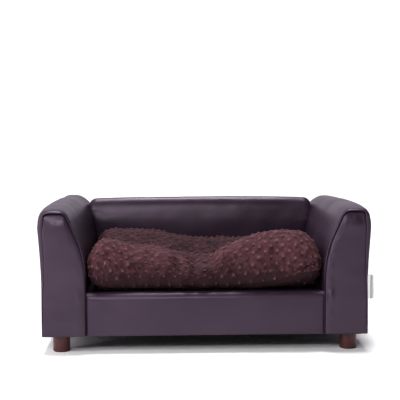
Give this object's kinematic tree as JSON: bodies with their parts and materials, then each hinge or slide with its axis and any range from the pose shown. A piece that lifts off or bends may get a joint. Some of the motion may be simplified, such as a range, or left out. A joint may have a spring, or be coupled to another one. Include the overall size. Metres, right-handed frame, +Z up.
{
  "type": "dog bed with frame",
  "caption": "Sofa-style dog bed: faux-leather arms, back and rail over a wooden frame, loose dotted plush cushion with a zipped cover, round screw-in wooden legs.",
  "frame": {"origin": "on the floor under the middle of the bed", "axes": "+X to the right arm as seen from the front, +Y to the padded back, +Z up"},
  "size_m": [0.6881, 0.43, 0.29],
  "materials": {
    "faux_leather": "satin",
    "plush": "matte",
    "foam": "matte",
    "fibre_fill": "matte",
    "plywood": "matte",
    "stained_wood": "satin",
    "zinc_steel": "satin",
    "black_lining": "matte",
    "zip_fabric": "matte",
    "zip_nylon": "satin",
    "zip_metal": "satin",
    "label_fabric": "matte"
  },
  "bodies": {
    "sofa": {"base_front_rail": "plywood", "base_rear_rail": "plywood", "base_left_rail": "plywood", "base_right_rail": "plywood", "base_centre_batten": "plywood", "deck_panel": "plywood", "back_outer_panel": "plywood", "back_inner_panel": "plywood", "back_top_rail": "plywood", "back_left_stile": "plywood", "back_right_stile": "plywood", "left_arm_outer_panel": "plywood", "left_arm_inner_panel": "plywood", "left_arm_front_board": "plywood", "left_arm_rear_board": "plywood", "left_arm_top_rail": "plywood", "left_arm_foot_plate": "plywood", "left_arm_foam": "foam", "left_arm_cover": "faux_leather", "left_arm_front_facing": "faux_leather", "left_arm_rear_facing": "faux_leather", "right_arm_outer_panel": "plywood", "right_arm_inner_panel": "plywood", "right_arm_front_board": "plywood", "right_arm_rear_board": "plywood", "right_arm_top_rail": "plywood", "right_arm_foot_plate": "plywood", "right_arm_foam": "foam", "right_arm_cover": "faux_leather", "right_arm_front_facing": "faux_leather", "right_arm_rear_facing": "faux_leather", "back_foam": "foam", "front_rail_foam": "foam", "back_cover": "faux_leather", "back_outer_cover": "faux_leather", "front_rail_cover": "faux_leather", "deck_cover": "faux_leather", "dust_cover": "black_lining", "side_label": "label_fabric", "leg_t_nuts": "zinc_steel", "arm_bolts": "zinc_steel", "arm_nuts": "zinc_steel", "dust_cover_staples": "zinc_steel"},
    "cushion": {"cushion_fill": "fibre_fill", "cushion_cover_top": "plush", "cushion_cover_bottom": "plush", "zip_tape": "zip_fabric", "zip_teeth": "zip_nylon"},
    "zip_slider": {"zip_slider": "zip_metal"},
    "zip_pull": {"zip_pull": "zip_metal"},
    "bolt_front_left": {"hanger_bolt_front_left": "zinc_steel"},
    "leg_front_left": {"leg_front_left": "stained_wood"},
    "bolt_front_right": {"hanger_bolt_front_right": "zinc_steel"},
    "leg_front_right": {"leg_front_right": "stained_wood"},
    "bolt_rear_left": {"hanger_bolt_rear_left": "zinc_steel"},
    "leg_rear_left": {"leg_rear_left": "stained_wood"},
    "bolt_rear_right": {"hanger_bolt_rear_right": "zinc_steel"},
    "leg_rear_right": {"leg_rear_right": "stained_wood"}
  },
  "joints": [
    {"name": "cushion_lift", "type": "slide", "parent": "sofa", "child": "cushion", "axis": [0, 0, 1], "range_m": [0, 0.2]},
    {"name": "zip_slide", "type": "slide", "parent": "cushion", "child": "zip_slider", "axis": [-1, 0, 0], "range_m": [0, 0.366]},
    {"name": "zip_pull_swing", "type": "hinge", "parent": "zip_slider", "child": "zip_pull", "pos_m": [0.183, 0.12826, 0.13636], "axis": [0, 0.6428, 0.766], "range_deg": [-90, 90]},
    {"name": "leg_front_left_feed", "type": "slide", "parent": "sofa", "child": "bolt_front_left", "axis": [0, 0, -1], "range_m": [0, 0.0152]},
    {"name": "leg_front_left_unscrew", "type": "hinge", "parent": "bolt_front_left", "child": "leg_front_left", "pos_m": [-0.297, -0.177, 0], "axis": [0, 0, -1], "range_deg": [0, 4320]},
    {"name": "leg_front_right_feed", "type": "slide", "parent": "sofa", "child": "bolt_front_right", "axis": [0, 0, -1], "range_m": [0, 0.0152]},
    {"name": "leg_front_right_unscrew", "type": "hinge", "parent": "bolt_front_right", "child": "leg_front_right", "pos_m": [0.297, -0.177, 0], "axis": [0, 0, -1], "range_deg": [0, 4320]},
    {"name": "leg_rear_left_feed", "type": "slide", "parent": "sofa", "child": "bolt_rear_left", "axis": [0, 0, -1], "range_m": [0, 0.0152]},
    {"name": "leg_rear_left_unscrew", "type": "hinge", "parent": "bolt_rear_left", "child": "leg_rear_left", "pos_m": [-0.297, 0.177, 0], "axis": [0, 0, -1], "range_deg": [0, 4320]},
    {"name": "leg_rear_right_feed", "type": "slide", "parent": "sofa", "child": "bolt_rear_right", "axis": [0, 0, -1], "range_m": [0, 0.0152]},
    {"name": "leg_rear_right_unscrew", "type": "hinge", "parent": "bolt_rear_right", "child": "leg_rear_right", "pos_m": [0.297, 0.177, 0], "axis": [0, 0, -1], "range_deg": [0, 4320]}
  ],
  "couplings": [
    {"joint": "leg_front_left_feed", "follows": "leg_front_left_unscrew", "m_per_rad": 0.00019894},
    {"joint": "leg_front_right_feed", "follows": "leg_front_right_unscrew", "m_per_rad": 0.00019894},
    {"joint": "leg_rear_left_feed", "follows": "leg_rear_left_unscrew", "m_per_rad": 0.00019894},
    {"joint": "leg_rear_right_feed", "follows": "leg_rear_right_unscrew", "m_per_rad": 0.00019894}
  ]
}
